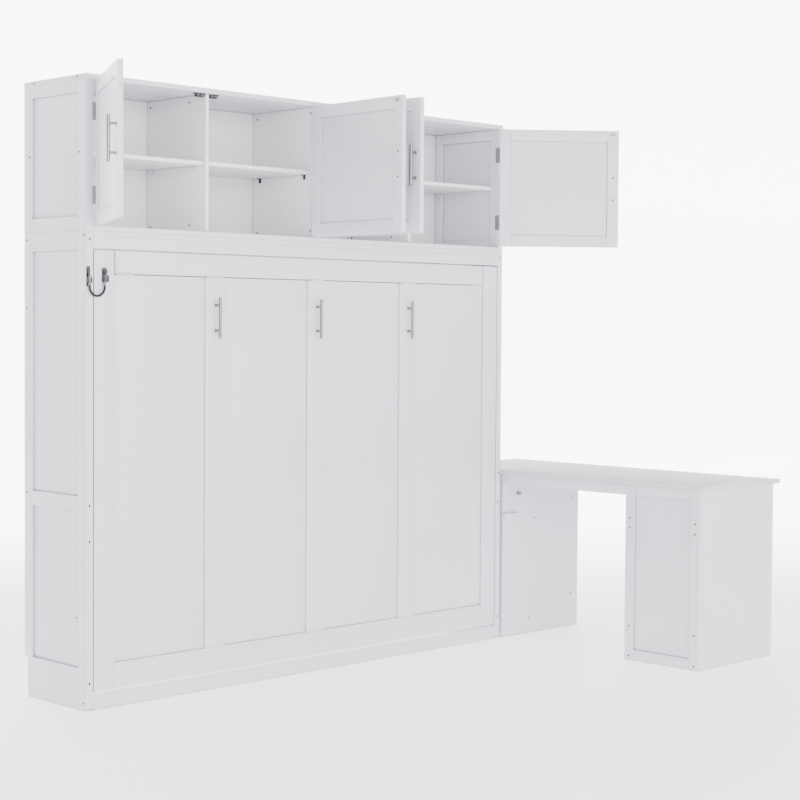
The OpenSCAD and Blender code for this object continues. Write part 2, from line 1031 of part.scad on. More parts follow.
module carcass_screws()
{
    color(steel)
    {
        for (z = front_screw_z)
            both_sides()
                screw_head(-half_w + side_t / 2, 0, z, "-y");
        for (p = side_screws)
            both_sides()
                screw_head(-half_w, p[0], p[1], "-x");
        screw_head(-half_w, 378, 762, "-x");
        for (w = divider_screws)
            for (y = [w[1], w[2]])
                for (z = divider_screw_z)
                    screw_head(w[0], y, z, "-x");
    }
}

module desk_screws()
{
    color(steel)
    {
        for (y = [ped_y0 + ped_screw_in, ped_y1 - ped_screw_in])
            for (z = ped_screw_z)
                screw_head(ped_x0, y, z, "-x");
        for (p = far_screws)
            screw_head(p[0], far_y0, p[1], "-y");
    }
}

side_left();
side_right();
base_rail();
head_rail();
lower_top();
wall_rails();
upper_side_left();
upper_side_right();
upper_top();
upper_bottom();
divider_left();
divider_middle();
divider_right();
shelves();
upper_back();
shelf_supports();
shelf_supports_white();
magnet_catches();
door_hinge_leaves();
cabinet_pivot_plates();
cabinet_pivot_pins();
door_1();
door_1_handle();
door_1_hinges();
door_2();
door_2_handle();
door_2_hinges();
door_3();
door_3_handle();
door_3_hinges();
door_4();
door_4_handle();
door_4_hinges();
bed_front_frame();
bed_front_panels();
bed_box_rails();
bed_ledgers();
bed_slats();
bed_handles();
bed_pivot_plates();
leg_board();
leg_hinges_bed();
leg_hinges_board();
strut_cylinders();
strut_rods();
safety_cable();
cable_ferrules();
cable_clip();
cable_lock();
desk_top();
desk_aprons();
desk_pedestal();
desk_pedestal_shelves();
desk_far_module();
desk_far_shelves();
desk_brackets();
desk_hook();
carcass_screws();
desk_screws();
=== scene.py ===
"""White horizontal wall bed with an overhead cabinet and a side desk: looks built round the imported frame.

Metres, in the frame's own axes: X along the wall, Y towards the wall, Z up, floor at Z = 0.
"""
import json
import math

import bmesh
import bpy
from mathutils import Matrix, Vector


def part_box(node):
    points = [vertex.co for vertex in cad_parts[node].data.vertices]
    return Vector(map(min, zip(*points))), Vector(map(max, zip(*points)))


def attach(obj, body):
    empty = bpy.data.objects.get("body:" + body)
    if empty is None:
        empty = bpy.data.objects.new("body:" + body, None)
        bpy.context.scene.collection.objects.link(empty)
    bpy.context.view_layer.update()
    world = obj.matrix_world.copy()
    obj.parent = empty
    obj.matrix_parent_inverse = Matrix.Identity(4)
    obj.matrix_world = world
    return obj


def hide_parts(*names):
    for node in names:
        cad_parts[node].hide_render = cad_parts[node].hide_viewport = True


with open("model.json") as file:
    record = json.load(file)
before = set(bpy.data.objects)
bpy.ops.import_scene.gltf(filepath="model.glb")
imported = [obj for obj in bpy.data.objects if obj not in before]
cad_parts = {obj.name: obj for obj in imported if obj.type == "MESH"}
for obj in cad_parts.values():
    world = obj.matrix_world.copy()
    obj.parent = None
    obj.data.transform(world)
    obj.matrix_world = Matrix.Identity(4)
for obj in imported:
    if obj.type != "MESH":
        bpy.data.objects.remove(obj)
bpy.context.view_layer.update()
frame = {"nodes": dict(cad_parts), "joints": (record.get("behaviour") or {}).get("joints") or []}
NODES = frame["nodes"]
JOINTS = {j["name"]: j for j in frame["joints"]}

MM = 0.001
UP = Vector((0.0, 0.0, 1.0))
FORWARD = Vector((0.0, -1.0, 0.0))  # out of the cabinet's front
DOORS = (1, 2, 3, 4)
DOOR_WIDTH = 528.5 * MM
DOOR_THICKNESS = 20 * MM
DOOR_GAP = 3 * MM
BED_PLATE_X = 1044 * MM  # outer faces of the bed's pivot plates
STRUT_LENGTH = 160 * MM  # black cylinder, from the middle of its eye


# ------------------------------------------------------------------ camera and stage

# Camera: place, heading from +Y towards +X, pitch, roll, lens and shift
EYE = Vector((-4.7456, -5.2365, 1.3896))
HEADING = 0.7859
PITCH = -0.0356
ROLL = 0.0068
LENS = 79.45
SHIFT = (-0.00535, -0.01436)


def add_camera():
    """The camera at the photo's place and angle."""
    level = Vector((math.sin(HEADING), math.cos(HEADING), 0.0))
    ahead = level * math.cos(PITCH) + UP * math.sin(PITCH)
    right = Vector((math.cos(HEADING), -math.sin(HEADING), 0.0))
    up = right.cross(ahead)
    rolled_right = math.cos(ROLL) * right + math.sin(ROLL) * up
    rolled_up = math.cos(ROLL) * up - math.sin(ROLL) * right
    data = bpy.data.cameras.new("camera")
    data.lens = LENS
    data.sensor_width = 36.0
    data.shift_x, data.shift_y = SHIFT
    data.clip_end = 60.0
    camera = bpy.data.objects.new("camera", data)
    basis = Matrix((rolled_right, rolled_up, -ahead)).transposed().to_4x4()
    camera.matrix_world = Matrix.Translation(EYE) @ basis
    bpy.context.scene.collection.objects.link(camera)
    bpy.context.scene.camera = camera


def area_light(name, place, target, size, power):
    """A white rectangular lamp that faces its target."""
    data = bpy.data.lights.new(name, "AREA")
    data.shape = "RECTANGLE"
    data.size, data.size_y = size
    data.energy = power
    light = bpy.data.objects.new(name, data)
    light.location = place
    light.rotation_euler = (Vector(target) - Vector(place)).to_track_quat("-Z", "Y").to_euler()
    bpy.context.scene.collection.objects.link(light)


def add_lights():
    """A soft bright studio: an even surround, a wide key in front, and two fills."""
    world = bpy.data.worlds.new("studio")
    bpy.context.scene.world = world
    world.use_nodes = True
    background = world.node_tree.nodes["Background"]
    background.inputs["Color"].default_value = (0.985, 0.99, 1.0, 1.0)
    background.inputs["Strength"].default_value = 1.2
    area_light("key", (0.4, -7.8, 2.6), (0.0, 0.0, 1.5), (5.0, 3.0), 340)
    area_light("fill", (6.5, -4.5, 3.0), (0.6, 0.0, 1.0), (3.0, 3.0), 60)
    area_light("upper left", (-3.6, -4.8, 2.5), (-0.3, 0.0, 2.1), (2.5, 2.0), 165)


def add_floor(material):
    """A floor that sweeps up into a backdrop behind the object, as one curved sheet."""
    half = 45.0
    back = 5.0
    radius = 3.0
    top = 7.5
    drop = 0.5 * MM  # below the object's feet
    line = [(-half, -drop)]
    bends = 16
    for i in range(bends + 1):
        a = 0.5 * math.pi * i / bends
        line.append((back + radius * math.sin(a), radius * (1 - math.cos(a)) - drop))
    line.append((back + radius, top))
    verts = [(side * half, y, z) for y, z in line for side in (-1, 1)]
    faces = [(2 * i, 2 * i + 1, 2 * i + 3, 2 * i + 2) for i in range(len(line) - 1)]
    mesh = bpy.data.meshes.new("floor")
    mesh.from_pydata(verts, [], faces)
    mesh.materials.append(material)
    for polygon in mesh.polygons:
        polygon.use_smooth = True
    floor = bpy.data.objects.new("floor", mesh)
    bpy.context.scene.collection.objects.link(floor)


# ------------------------------------------------------------------------- materials

class Shader:
    """A Principled material with a few helpers for its nodes."""

    def __init__(self, name, color, roughness, metallic=0.0):
        self.material = bpy.data.materials.new(name)
        self.material.use_nodes = True
        self.tree = self.material.node_tree
        self.surface = self.tree.nodes["Principled BSDF"]
        self.set("Base Color", (*color, 1.0))
        self.set("Roughness", roughness)
        self.set("Metallic", metallic)

    def set(self, socket, value):
        self.surface.inputs[socket].default_value = value

    def add(self, kind, **inputs):
        """A node with its inputs set by name, a space written as an underscore."""
        node = self.tree.nodes.new(kind)
        for key, value in inputs.items():
            node.inputs[key.replace("_", " ")].default_value = value
        return node

    def link(self, source, target):
        self.tree.links.new(source, target)

    def coordinates(self, scale=(1.0, 1.0, 1.0)):
        """The object's own coordinates in metres, scaled."""
        place = self.add("ShaderNodeTexCoord")
        mapping = self.add("ShaderNodeMapping", Scale=scale)
        self.link(place.outputs["Object"], mapping.inputs["Vector"])
        return mapping.outputs["Vector"]

    def noise(self, vector, scale, detail=3.0, roughness=0.5):
        node = self.add("ShaderNodeTexNoise", Scale=scale, Detail=detail, Roughness=roughness)
        self.link(vector, node.inputs["Vector"])
        return node.outputs["Fac"]

    def ramp(self, fac, stops):
        """Colours at the stops, blended by a value."""
        node = self.add("ShaderNodeValToRGB")
        elements = node.color_ramp.elements
        while len(elements) < len(stops):
            elements.new(0.5)
        for element, (position, color) in zip(elements, stops):
            element.position = position
            element.color = (*color, 1.0)
        self.link(fac, node.inputs["Fac"])
        return node.outputs["Color"]

    def remap(self, fac, low, high):
        node = self.add("ShaderNodeMapRange", To_Min=low, To_Max=high)
        self.link(fac, node.inputs["Value"])
        return node.outputs["Result"]

    def multiply(self, first, second, factor=1.0):
        node = self.add("ShaderNodeMix", Factor=factor)
        node.data_type = "RGBA"
        node.blend_type = "MULTIPLY"
        self.link(first, node.inputs["A"])
        self.link(second, node.inputs["B"])
        return node.outputs["Result"]

    def occlusion(self, distance, inside=False):
        """How open the surface is within a distance; inside, how far it is from a convex edge."""
        node = self.add("ShaderNodeAmbientOcclusion", Distance=distance)
        node.samples = 6
        node.inside = inside
        return node.outputs["AO"]

    def bump(self, height, strength, distance, under=None):
        node = self.add("ShaderNodeBump", Strength=strength, Distance=distance)
        self.link(height, node.inputs["Height"])
        if under is not None:
            self.link(under, node.inputs["Normal"])
        return node.outputs["Normal"]

    def finish(self, color, roughness=None, normal=None):
        """Links what varies over the surface and gives the material."""
        self.link(color, self.surface.inputs["Base Color"])
        if roughness is not None:
            self.link(roughness, self.surface.inputs["Roughness"])
        if normal is not None:
            self.link(normal, self.surface.inputs["Normal"])
        return self.material


def shaded(color, amount):
    """A colour made darker or lighter."""
    return tuple(max(0.0, min(1.0, c * amount)) for c in color)


def grey(level):
    return (level, level, level)


def drawn_out(axis, along, across):
    """Texture scale for a pattern that runs along one axis."""
    scale = [across, across, across]
    scale["XYZ".index(axis)] = along
    return scale


WHITE = (0.725, 0.722, 0.79)
# The interior's white, lighter than WHITE though it is the same paint: painted light for the cabinet's
# inside, which the lamps reach less.
LIT_INSIDE_WHITE = (0.87, 0.87, 0.885)
# The desk top's white, darker than WHITE though it is the same paint: painted shade for a top that takes less
# light than the fronts.
SHADED_DESK_WHITE = (0.66, 0.66, 0.675)


def painted_board(name, color, along, roughness=0.38, gloss=1.0):
    """Sprayed satin paint over board.

    It has orange peel, a faint grain along the board, an uneven tone and rubbed edges, and painted shade in
    its creases and gaps.
    """
    s = Shader(name, color, roughness)
    cloud = s.noise(s.coordinates(), 1.7, 3.0)
    tone = s.ramp(cloud, [(0.3, shaded(color, 0.972)), (0.7, shaded(color, 1.018))])
    # Painted shade: creases darken and narrow gaps go nearly black, by how open the surface is within 12 mm.
    crease_shade_levels = [(0.10, grey(0.06)), (0.34, (0.62, 0.62, 0.63)), (0.80, grey(1.0))]
    painted_crease_shade = s.ramp(s.occlusion(12 * MM), crease_shade_levels)
    edges = s.ramp(s.occlusion(1.6 * MM, inside=True), [(0.45, grey(0.955)), (0.75, grey(1.0))])
    grain = s.noise(s.coordinates(drawn_out(along, 1.6, 34.0)), 2.2, 5.0, 0.6)
    streaks = s.ramp(grain, [(0.35, grey(0.93)), (0.65, grey(1.0))])
    tone = s.multiply(s.multiply(s.multiply(tone, painted_crease_shade), edges), streaks, 0.35)
    peel = s.noise(s.coordinates(), 420.0, 2.0)
    coarse = s.noise(s.coordinates(), 95.0, 2.0)
    sheen = s.remap(s.noise(s.coordinates(), 6.0, 4.0), roughness - 0.05, roughness + 0.08)
    grain_bump = s.bump(grain, 0.16, 0.6 * MM)
    coarse_bump = s.bump(coarse, 0.12, 0.3 * MM, grain_bump)
    peel_bump = s.bump(peel, 0.10, 0.2 * MM, coarse_bump)
    s.set("Specular IOR Level", 0.45 * gloss)
    s.set("Coat Weight", 0.12 * gloss)
    s.set("Coat Roughness", 0.28)
    return s.finish(tone, sheen, peel_bump)


def brushed_metal(name, color, along, roughness=0.30):
    """Metal with fine brush lines along one axis."""
    s = Shader(name, color, roughness, 1.0)
    lines = s.noise(s.coordinates(drawn_out(along, 14.0, 900.0)), 1.0, 3.0, 0.6)
    patches = s.noise(s.coordinates(), 22.0, 3.0)
    tone = s.ramp(lines, [(0.25, shaded(color, 0.86)), (0.75, shaded(color, 1.08))])
    rough = s.remap(patches, roughness - 0.05, roughness + 0.10)
    s.set("Anisotropic", 0.5)
    return s.finish(tone, rough, s.bump(lines, 0.22, 0.08 * MM))


def zinc_plate(name, color):
    """Zinc with the faint cloudy spangle of plating, with painted shade darkening its corners."""
    s = Shader(name, color, 0.36, 1.0)
    cells = s.add("ShaderNodeTexVoronoi", Scale=160.0)
    s.link(s.coordinates(), cells.inputs["Vector"])
    tone = s.ramp(cells.outputs["Distance"], [(0.0, shaded(color, 0.88)), (0.9, shaded(color, 1.1))])
    # Painted shade: darker where the surface is closed in within 4 mm, in corners and recesses.
    tone = s.multiply(tone, s.ramp(s.occlusion(4 * MM), [(0.3, grey(0.35)), (0.8, grey(1.0))]))
    rough = s.remap(s.noise(s.coordinates(), 30.0, 4.0), 0.28, 0.48)
    return s.finish(tone, rough, s.bump(s.noise(s.coordinates(), 300.0, 2.0), 0.1, 0.1 * MM))


def black_steel(name, roughness=0.42):
    """Black powder coat on steel."""
    color = (0.018, 0.018, 0.020)
    s = Shader(name, color, roughness, 0.3)
    grit = s.noise(s.coordinates(), 900.0, 2.0)
    cloud = s.noise(s.coordinates(), 40.0, 4.0)
    tone = s.ramp(cloud, [(0.3, shaded(color, 0.8)), (0.75, shaded(color, 1.7))])
    rough = s.remap(s.noise(s.coordinates(), 60.0, 3.0), roughness - 0.08, roughness + 0.12)
    return s.finish(tone, rough, s.bump(grit, 0.25, 0.1 * MM))


def moulded_plastic(name):
    """Black moulded plastic with a fine spark-eroded grain."""
    color = (0.022, 0.022, 0.024)
    s = Shader(name, color, 0.5)
    grain = s.noise(s.coordinates(), 1400.0, 2.0)
    tone = s.ramp(s.noise(s.coordinates(), 25.0, 3.0), [(0.3, color), (0.8, shaded(color, 1.5))])
    return s.finish(tone, s.remap(grain, 0.42, 0.6), s.bump(grain, 0.3, 0.1 * MM))


def coated_cable(name):
    """Smooth black vinyl over wire rope: the lay of the rope shows as a faint spiral."""
    color = (0.008, 0.008, 0.009)
    s = Shader(name, color, 0.5)
    wave = s.add("ShaderNodeTexWave", Scale=190.0, Distortion=0.4, Detail=1.0)
    s.link(s.coordinates((1.0, 0.4, 0.8)), wave.inputs["Vector"])
    lay = wave.outputs["Fac"]
    tone = s.ramp(s.noise(s.coordinates(), 120.0, 2.0), [(0.3, color), (0.8, shaded(color, 2.0))])
    s.set("Specular IOR Level", 0.3)
    return s.finish(tone, s.remap(lay, 0.46, 0.60), s.bump(lay, 0.25, 0.3 * MM))


def planed_pine(name, along):
    """Plain softwood: growth rings cut along the board, darker late wood, fine fibres."""
    s = Shader(name, (0.62, 0.45, 0.26), 0.55)
    rings = s.add("ShaderNodeTexWave", Scale=2.6, Distortion=5.5, Detail=4.0, Detail_Scale=1.3)
    s.link(s.coordinates(drawn_out(along, 0.55, 9.0)), rings.inputs["Vector"])
    fibres = s.noise(s.coordinates(drawn_out(along, 5.0, 160.0)), 1.0, 4.0, 0.6)
    stops = [(0.0, (0.66, 0.49, 0.29)), (0.62, (0.60, 0.42, 0.23)), (0.93, (0.44, 0.27, 0.12))]
    tone = s.ramp(rings.outputs["Fac"], stops)
    tone = s.multiply(tone, s.ramp(fibres, [(0.3, (0.78, 0.74, 0.68)), (0.7, grey(1.0))]), 0.35)
    ring_bump = s.bump(rings.outputs["Fac"], 0.12, 0.4 * MM)
    return s.finish(tone, s.remap(fibres, 0.48, 0.66), s.bump(fibres, 0.2, 0.2 * MM, ring_bump))


def studio_floor(name):
    """Pale paper sweep that glows, more strongly away from the object: painted light standing in for the
    sweep's own lamps.
    """
    s = Shader(name, grey(0.90), 0.6)
    spots = s.noise(s.coordinates(), 3.0, 4.0)
    s.set("Emission Color", (1.0, 1.0, 1.0, 1.0))
    away = (0.72, 0.694, 0.0)
    reach = s.add("ShaderNodeVectorMath")
    reach.operation = "DOT_PRODUCT"
    reach.inputs[1].default_value = away
    s.link(s.coordinates(), reach.inputs[0])
    # Painted light: the sweep's glow, strength 1.4 near the object rising to 6 far behind it.
    glow = s.add("ShaderNodeMapRange", From_Min=1.2, From_Max=6.0, To_Min=1.4, To_Max=6.0)
    glow.interpolation_type = "SMOOTHSTEP"
    s.link(reach.outputs["Value"], glow.inputs["Value"])
    s.link(glow.outputs["Result"], s.surface.inputs["Emission Strength"])
    return s.finish(s.ramp(spots, [(0.3, grey(0.89)), (0.7, grey(0.92))]))


PAINT_UP = painted_board("paint_upright", WHITE, "Z")
PAINT_WIDE = painted_board("paint_wide", WHITE, "X")
PAINT_DEEP = painted_board("paint_deep", WHITE, "Y", 0.34)
# The desk top gets the darker white: painted shade.
SHADED_PAINT_DESK = painted_board("paint_desk_top_shaded", SHADED_DESK_WHITE, "Y", 0.55, 0.3)
# The inside paints use the lighter white: painted light.
PAINT_IN = painted_board("paint_inside", LIT_INSIDE_WHITE, "X", 0.46)
PAINT_IN_UP = painted_board("paint_inside_upright", LIT_INSIDE_WHITE, "Z", 0.46)
STEEL = brushed_metal("brushed_steel", (0.23, 0.23, 0.235), "Z")
ROD_STEEL = brushed_metal("ground_steel", (0.72, 0.72, 0.72), "Z", 0.16)
ZINC = zinc_plate("zinc_plate", (0.30, 0.305, 0.315))
DARK_ZINC = zinc_plate("dark_zinc", (0.085, 0.085, 0.09))
BLACK = black_steel("black_steel")
STRUT_BLACK = black_steel("strut_paint", 0.26)
PLASTIC = moulded_plastic("black_plastic")
CABLE = coated_cable("cable_coating")
PINE_UP = planed_pine("pine_upright", "Z")
PINE_WIDE = planed_pine("pine_wide", "X")
FLOOR = studio_floor("studio_floor")

NODE_LOOKS = {
    PAINT_UP: ["side_left", "side_right", "upper_side_left", "upper_side_right", "door_1", "door_2", "door_3",
               "door_4", "bed_front_frame", "bed_front_panels", "desk_pedestal", "desk_far_module"],
    PAINT_WIDE: ["base_rail", "head_rail", "lower_top", "upper_top", "upper_bottom", "leg_board",
                 "leg_hinges_bed", "leg_hinges_board", "shelf_supports_white"],
    PAINT_DEEP: ["desk_aprons"],
    SHADED_PAINT_DESK: ["desk_top"],
    PAINT_IN: ["shelves", "upper_back", "wall_rails", "bed_box_rails", "desk_pedestal_shelves",
               "desk_far_shelves"],
    PAINT_IN_UP: ["divider_left", "divider_middle", "divider_right"],
    STEEL: ["bed_handles", "door_1_handle", "door_2_handle", "door_3_handle", "door_4_handle",
            "cable_ferrules"],
    ROD_STEEL: ["strut_rods"],
    ZINC: ["cabinet_pivot_plates", "cabinet_pivot_pins", "bed_pivot_plates", "door_hinge_leaves",
           "door_1_hinges", "door_2_hinges", "door_3_hinges", "door_4_hinges", "desk_hook"],
    DARK_ZINC: ["carcass_screws", "desk_screws", "cable_clip", "cable_lock"],
    BLACK: ["shelf_supports", "desk_brackets"],
    STRUT_BLACK: ["strut_cylinders"],
    PLASTIC: ["magnet_catches"],
    CABLE: ["safety_cable"],
    PINE_UP: ["bed_slats"],
    PINE_WIDE: ["bed_ledgers"],
}
FITTINGS = (STEEL, ROD_STEEL, ZINC, DARK_ZINC, BLACK, STRUT_BLACK, PLASTIC, CABLE)
EASED_BOARDS = 1.4 * MM
EASED_FITTINGS = 0.4 * MM


def dress_nodes():
    """Gives each CAD node its material and eases its sharp edges."""
    for material, names in NODE_LOOKS.items():
        fitting = material in FITTINGS
        for name in names:
            obj = NODES[name]
            obj.data.materials.clear()
            obj.data.materials.append(material)
            weld = obj.modifiers.new("weld", "WELD")
            weld.merge_threshold = 0.02 * MM
            flat = obj.modifiers.new("flat", "DECIMATE")
            flat.decimate_type = "DISSOLVE"
            flat.angle_limit = math.radians(1.0)
            ease = obj.modifiers.new("ease", "BEVEL")
            ease.width = EASED_FITTINGS if fitting else EASED_BOARDS
            ease.segments = 2 if fitting else 3
            ease.limit_method = "ANGLE"
            ease.angle_limit = math.radians(40.0)
            ease.use_clamp_overlap = True
            ease.harden_normals = True
            for polygon in obj.data.polygons:
                polygon.use_smooth = True


# --------------------------------------------------------------------- mesh building

CREASE_ANGLE = math.radians(35.0)


def new_piece(name, build, material, body, turned=False):
    """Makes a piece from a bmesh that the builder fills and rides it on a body.

    A turned piece is smooth but for its sharp creases; any other is flat.
    """
    shape = bmesh.new()
    build(shape)
    bmesh.ops.recalc_face_normals(shape, faces=shape.faces)
    shape.normal_update()
    for face in shape.faces:
        face.smooth = turned
    for edge in shape.edges:
        edge.smooth = not turned or len(edge.link_faces) != 2 or edge.calc_face_angle(0.0) < CREASE_ANGLE
    mesh = bpy.data.meshes.new(name)
    shape.to_mesh(mesh)
    shape.free()
    mesh.materials.append(material)
    obj = bpy.data.objects.new(name, mesh)
    bpy.context.scene.collection.objects.link(obj)
    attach(obj, body)
    return obj


def in_mm(points):
    """Pairs written in millimetres, turned into metres."""
    return [(a * MM, b * MM) for a, b in points]


def axis_frame(place, along, side=None):
    """A matrix that puts local Z along a direction at a place, with local X towards the side."""
    z = along.normalized()
    x = side.normalized() if side is not None else z.orthogonal().normalized()
    y = z.cross(x).normalized()
    x = y.cross(z).normalized()
    return Matrix.Translation(place) @ Matrix((x, y, z)).transposed().to_4x4()


def circle(shape, matrix, radius, height, steps):
    """A ring of vertices round local Z."""
    ring = []
    for i in range(steps):
        turn = 2.0 * math.pi * i / steps
        spot = Vector((radius * math.cos(turn), radius * math.sin(turn), height))
        ring.append(shape.verts.new(matrix @ spot))
    return ring


def bridge(shape, low, high):
    """Four-sided faces between two rings of the same number of vertices."""
    for i in range(len(low)):
        j = (i + 1) % len(low)
        shape.faces.new((low[i], low[j], high[j], high[i]))


def lathe(shape, profile, matrix, steps=32):
    """Turns a profile of (radius, height) points about local Z; a point on the axis is one vertex."""
    rings = [circle(shape, matrix, r, h, steps if r > 0.0 else 1) for r, h in profile]
    for low, high in zip(rings, rings[1:]):
        if len(low) == len(high):
            bridge(shape, low, high)
            continue
        for i in range(steps):
            j = (i + 1) % steps
            corners = (low[0], high[j], high[i]) if len(low) == 1 else (low[i], low[j], high[0])
            shape.faces.new(corners)


def rectangle(shape, matrix, half_x, half_y):
    """One flat face across local Z."""
    corners = ((-half_x, -half_y), (half_x, -half_y), (half_x, half_y), (-half_x, half_y))
    shape.faces.new([shape.verts.new(matrix @ Vector((x, y, 0.0))) for x, y in corners])


def block(shape, centre, size):
    """A box from its middle and its three sides."""
    bmesh.ops.create_cube(shape, size=1.0, matrix=Matrix.Translation(centre) @ Matrix.Diagonal((*size, 1.0)))


def button_head(shape, place, out, radius, height):
    """A button-head bolt with a hexagon socket, seated on a face and facing out."""
    matrix = axis_frame(place, out)
    per_side = 4
    steps = 6 * per_side
    floor = circle(shape, matrix, radius * 0.5, height * 0.3, 6)
    mouth = circle(shape, matrix, radius * 0.5, height, 6)
    shape.faces.new(floor)
    bridge(shape, floor, mouth)
    rings = [circle(shape, matrix, radius * 0.98, 0.0, steps)]
    for turn in (0.0, 0.25, 0.55, 0.85):
        lift = height * (0.25 + 0.75 * math.sin(turn))
        rings.append(circle(shape, matrix, radius * math.cos(turn), lift, steps))
    for low, high in zip(rings, rings[1:]):
        bridge(shape, low, high)
    shape.faces.new(list(reversed(rings[0])))
    top = rings[-1]
    for i in range(6):
        fan = top[i * per_side:(i + 1) * per_side] + [top[(i + 1) * per_side % steps]]
        shape.faces.new([mouth[i]] + fan + [mouth[(i + 1) % 6]])


def countersunk_head(shape, place, out, radius):
    """A flat screw head with a cross recess, flush on a leaf."""
    matrix = axis_frame(place, out)
    top = 0.1 * MM
    lathe(shape, [(radius, 0.0), (radius * 0.96, top * 0.8), (radius * 0.55, top), (0.0, top)], matrix, 24)
    for lift, turn in ((0.13 * MM, 0.0), (0.146 * MM, math.pi / 2)):
        bar = matrix @ Matrix.Rotation(turn, 4, "Z") @ Matrix.Translation((0.0, 0.0, lift))
        rectangle(shape, bar, radius * 0.55, radius * 0.12)


def islands(node):
    """The separate solids of a CAD node: each one's lowest and highest corners."""
    shape = bmesh.new()
    shape.from_mesh(NODES[node].data)
    bmesh.ops.remove_doubles(shape, verts=shape.verts, dist=0.01 * MM)
    found = []
    seen = set()
    for start in shape.verts:
        if start in seen:
            continue
        group = [start]
        seen.add(start)
        for vert in group:
            for edge in vert.link_edges:
                other = edge.other_vert(vert)
                if other not in seen:
                    seen.add(other)
                    group.append(other)
        low = Vector([min(v.co[k] for v in group) for k in range(3)])
        high = Vector([max(v.co[k] for v in group) for k in range(3)])
        found.append((low, high))
    shape.free()
    return sorted(found, key=lambda pair: tuple(round(c, 5) for c in pair[0]))


# ------------------------------------------------------------------------ the screws

def screw_pieces():
    """Button-head bolts in place of the plain heads: the thin direction of each head is its axis."""
    right_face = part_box("side_right")[1].x
    for node in ("carcass_screws", "desk_screws"):

        def build(shape):
            for low, high in islands(node):
                size = high - low
                axis = min(range(3), key=lambda k: size[k])
                faces_right = node == "carcass_screws" and axis == 0 and high.x > right_face
                out = Vector((0.0, 0.0, 0.0))
                out[axis] = 1.0 if faces_right else -1.0
                seat = (low + high) / 2
                seat[axis] = low[axis] if faces_right else high[axis]
                button_head(shape, seat, out, max(size) / 2, min(size) * 0.98)

        piece = new_piece(node + "_heads", build, DARK_ZINC, "cabinet")
        # The dome and the socket's walls, the only four-sided faces, are black
        piece.data.materials.append(BLACK)
        for polygon in piece.data.polygons:
            polygon.material_index = 1 if len(polygon.vertices) == 4 else 0
        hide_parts(node)


# ------------------------------------------------------------------ doors and handles

BAR_RADIUS = 6 * MM
BAR_OUT = 26 * MM
BAR_LENGTH = 156 * MM
BAR_CHAMFER = 0.9 * MM
POST_PITCH = 96 * MM


def t_bar(shape, foot, out):
    """A T-bar handle: chamfered bar, turned posts with a collar at the door and a seat at the bar."""
    half = BAR_LENGTH / 2
    narrow = BAR_RADIUS - BAR_CHAMFER
    bar = [(0.0, -half), (narrow, -half), (BAR_RADIUS, -half + BAR_CHAMFER), (BAR_RADIUS, half - BAR_CHAMFER),
           (narrow, half), (0.0, half)]
    lathe(shape, bar, axis_frame(foot + out * BAR_OUT, UP), 40)
    reach = BAR_OUT - BAR_RADIUS * 0.8
    post = in_mm([(0.0, 0.0), (6.2, 0.0), (6.4, 0.4), (6.4, 1.6), (6.0, 2.2), (4.6, 2.6), (4.4, 3.4)])
    post += [(4.4 * MM, reach - 3 * MM), (4.8 * MM, reach - 1 * MM), (4.8 * MM, reach), (0.0, reach)]
    for side in (-1, 1):
        lathe(shape, post, axis_frame(foot + UP * side * POST_PITCH / 2, out), 28)


def door_pose(k):
    """A door's pivot, its hand (1 where the hinge is on the left) and its turn about +Z at rest."""
    joint = JOINTS["door_%d" % k]
    turn = joint["axis"][2] * math.radians(-joint["range_deg"][0])
    return Vector(joint["pos_m"]), -joint["axis"][2], Matrix.Rotation(turn, 3, "Z")


def handle_seat(k):
    """The point on a door's outer face midway between its handle's posts, and the way out of that face."""
    out = door_pose(k)[2] @ FORWARD
    name = "door_%d_handle" % k
    verts = [v.co for v in NODES[name].data.vertices]
    low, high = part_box(name)
    bar_end = [v for v in verts if high.z - v.z < 0.5 * MM]
    middle = sum(bar_end, Vector()) / len(bar_end)
    foot = Vector((middle.x, middle.y, (low.z + high.z) / 2))
    face = min(v.dot(out) for v in verts)
    return foot + out * (face - foot.dot(out)), out


def handle_pieces():
    """Turned T-bars in place of the plain ones on the bed and the doors."""
    low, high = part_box("bed_handles")
    middle_z = (low.z + high.z) / 2
    columns = sorted({round((a.x + b.x) / 2, 4) for a, b in islands("bed_handles")})

    def bed_bars(shape):
        for x in columns:
            t_bar(shape, Vector((x, 0.0, middle_z)), FORWARD)

    bars = new_piece("bed_handle_bars", bed_bars, STEEL, "bed", turned=True)
    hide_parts("bed_handles")
    for k in DOORS:
        piece = new_piece("door_%d_bar" % k, lambda shape: t_bar(shape, *handle_seat(k)), STEEL,
                          "door_%d" % k, turned=True)
        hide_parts("door_%d_handle" % k)


# ------------------------------------------------------------------------ the hinges

# Screws of a leaf: distance from the pivot and height from the hinge's middle, in millimetres
LEAF_SCREWS = ((16.0, -21.0), (13.5, 0.0), (16.0, 21.0))
LEAF_SCREW_RADIUS = 2.6 * MM
LEAF_FACE = 0.2 * MM  # from the hinge's middle plane to a leaf's face


